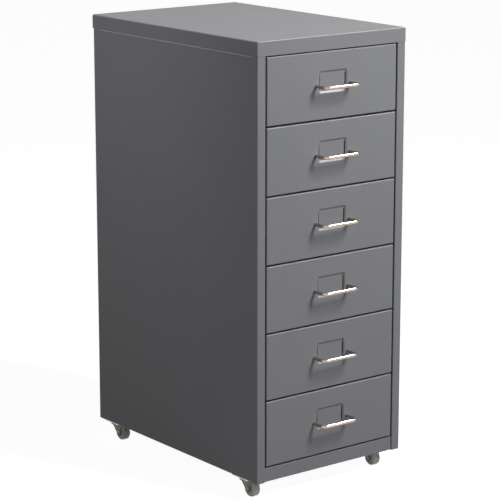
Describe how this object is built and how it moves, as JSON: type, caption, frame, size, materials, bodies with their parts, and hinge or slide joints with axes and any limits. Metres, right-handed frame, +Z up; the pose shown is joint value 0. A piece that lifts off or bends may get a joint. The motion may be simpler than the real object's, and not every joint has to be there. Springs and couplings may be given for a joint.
{
  "type": "drawer cabinet",
  "caption": "Slim metal drawer cabinet with a folded hood top, flush drawer fronts with label pockets and wire handles, on small swivel castors.",
  "frame": {"origin": "on the floor, under the middle of the whole object with its handles", "axes": "+Z up, the front faces -Y, +X to the right as seen from the front"},
  "size_m": [0.28, 0.4467, 0.69],
  "materials": {
    "powder_coat": "fine satin powder coat, dark grey",
    "bright_nickel": "bright plated wire",
    "zinc_steel": "zinc plated",
    "fork_plastic": "smoky translucent moulding",
    "wheel_plastic": "pale warm grey moulding"
  },
  "bodies": {
    "cabinet": {"top_panel": "powder_coat", "left_side_panel": "powder_coat", "right_side_panel": "powder_coat", "back_panel": "powder_coat", "base_panel": "powder_coat", "panel_screws": "zinc_steel", "castor_screws": "zinc_steel", "left_runner_1": "zinc_steel", "left_runner_2": "zinc_steel", "left_runner_3": "zinc_steel", "left_runner_4": "zinc_steel", "left_runner_5": "zinc_steel", "left_runner_6": "zinc_steel", "right_runner_1": "zinc_steel", "right_runner_2": "zinc_steel", "right_runner_3": "zinc_steel", "right_runner_4": "zinc_steel", "right_runner_5": "zinc_steel", "right_runner_6": "zinc_steel", "castor_plate_front_left": "zinc_steel", "castor_plate_front_right": "zinc_steel", "castor_plate_rear_left": "zinc_steel", "castor_plate_rear_right": "zinc_steel"},
    "drawer_1": {"drawer_front_1": "powder_coat", "drawer_tray_1": "powder_coat", "handle_1": "bright_nickel", "handle_screws_1": "zinc_steel"},
    "drawer_2": {"drawer_front_2": "powder_coat", "drawer_tray_2": "powder_coat", "handle_2": "bright_nickel", "handle_screws_2": "zinc_steel"},
    "drawer_3": {"drawer_front_3": "powder_coat", "drawer_tray_3": "powder_coat", "handle_3": "bright_nickel", "handle_screws_3": "zinc_steel"},
    "drawer_4": {"drawer_front_4": "powder_coat", "drawer_tray_4": "powder_coat", "handle_4": "bright_nickel", "handle_screws_4": "zinc_steel"},
    "drawer_5": {"drawer_front_5": "powder_coat", "drawer_tray_5": "powder_coat", "handle_5": "bright_nickel", "handle_screws_5": "zinc_steel"},
    "drawer_6": {"drawer_front_6": "powder_coat", "drawer_tray_6": "powder_coat", "handle_6": "bright_nickel", "handle_screws_6": "zinc_steel"},
    "fork_front_left": {"castor_fork_front_left": "fork_plastic", "castor_axle_front_left": "zinc_steel"},
    "wheel_front_left": {"castor_wheel_front_left": "wheel_plastic"},
    "fork_front_right": {"castor_fork_front_right": "fork_plastic", "castor_axle_front_right": "zinc_steel"},
    "wheel_front_right": {"castor_wheel_front_right": "wheel_plastic"},
    "fork_rear_left": {"castor_fork_rear_left": "fork_plastic", "castor_axle_rear_left": "zinc_steel"},
    "wheel_rear_left": {"castor_wheel_rear_left": "wheel_plastic"},
    "fork_rear_right": {"castor_fork_rear_right": "fork_plastic", "castor_axle_rear_right": "zinc_steel"},
    "wheel_rear_right": {"castor_wheel_rear_right": "wheel_plastic"}
  },
  "joints": [
    {"name": "drawer_1_slide", "type": "slide", "parent": "cabinet", "child": "drawer_1", "axis": [0, -1, 0], "range_m": [0, 0.3]},
    {"name": "drawer_2_slide", "type": "slide", "parent": "cabinet", "child": "drawer_2", "axis": [0, -1, 0], "range_m": [0, 0.3]},
    {"name": "drawer_3_slide", "type": "slide", "parent": "cabinet", "child": "drawer_3", "axis": [0, -1, 0], "range_m": [0, 0.3]},
    {"name": "drawer_4_slide", "type": "slide", "parent": "cabinet", "child": "drawer_4", "axis": [0, -1, 0], "range_m": [0, 0.3]},
    {"name": "drawer_5_slide", "type": "slide", "parent": "cabinet", "child": "drawer_5", "axis": [0, -1, 0], "range_m": [0, 0.3]},
    {"name": "drawer_6_slide", "type": "slide", "parent": "cabinet", "child": "drawer_6", "axis": [0, -1, 0], "range_m": [0, 0.3]},
    {"name": "castor_front_left_swivel", "type": "hinge", "parent": "cabinet", "child": "fork_front_left", "pos_m": [-0.119, -0.15015, 0.029], "axis": [0, 0, 1], "continuous": true},
    {"name": "castor_front_left_roll", "type": "hinge", "parent": "fork_front_left", "child": "wheel_front_left", "pos_m": [-0.119, -0.15815, 0.0125], "axis": [1, 0, 0], "continuous": true},
    {"name": "castor_front_right_swivel", "type": "hinge", "parent": "cabinet", "child": "fork_front_right", "pos_m": [0.119, -0.15015, 0.029], "axis": [0, 0, 1], "continuous": true},
    {"name": "castor_front_right_roll", "type": "hinge", "parent": "fork_front_right", "child": "wheel_front_right", "pos_m": [0.119, -0.15815, 0.0125], "axis": [1, 0, 0], "continuous": true},
    {"name": "castor_rear_left_swivel", "type": "hinge", "parent": "cabinet", "child": "fork_rear_left", "pos_m": [-0.119, 0.19285, 0.029], "axis": [0, 0, 1], "continuous": true},
    {"name": "castor_rear_left_roll", "type": "hinge", "parent": "fork_rear_left", "child": "wheel_rear_left", "pos_m": [-0.119, 0.18485, 0.0125], "axis": [1, 0, 0], "continuous": true},
    {"name": "castor_rear_right_swivel", "type": "hinge", "parent": "cabinet", "child": "fork_rear_right", "pos_m": [0.119, 0.19285, 0.029], "axis": [0, 0, 1], "continuous": true},
    {"name": "castor_rear_right_roll", "type": "hinge", "parent": "fork_rear_right", "child": "wheel_rear_right", "pos_m": [0.119, 0.18485, 0.0125], "axis": [1, 0, 0], "continuous": true}
  ]
}
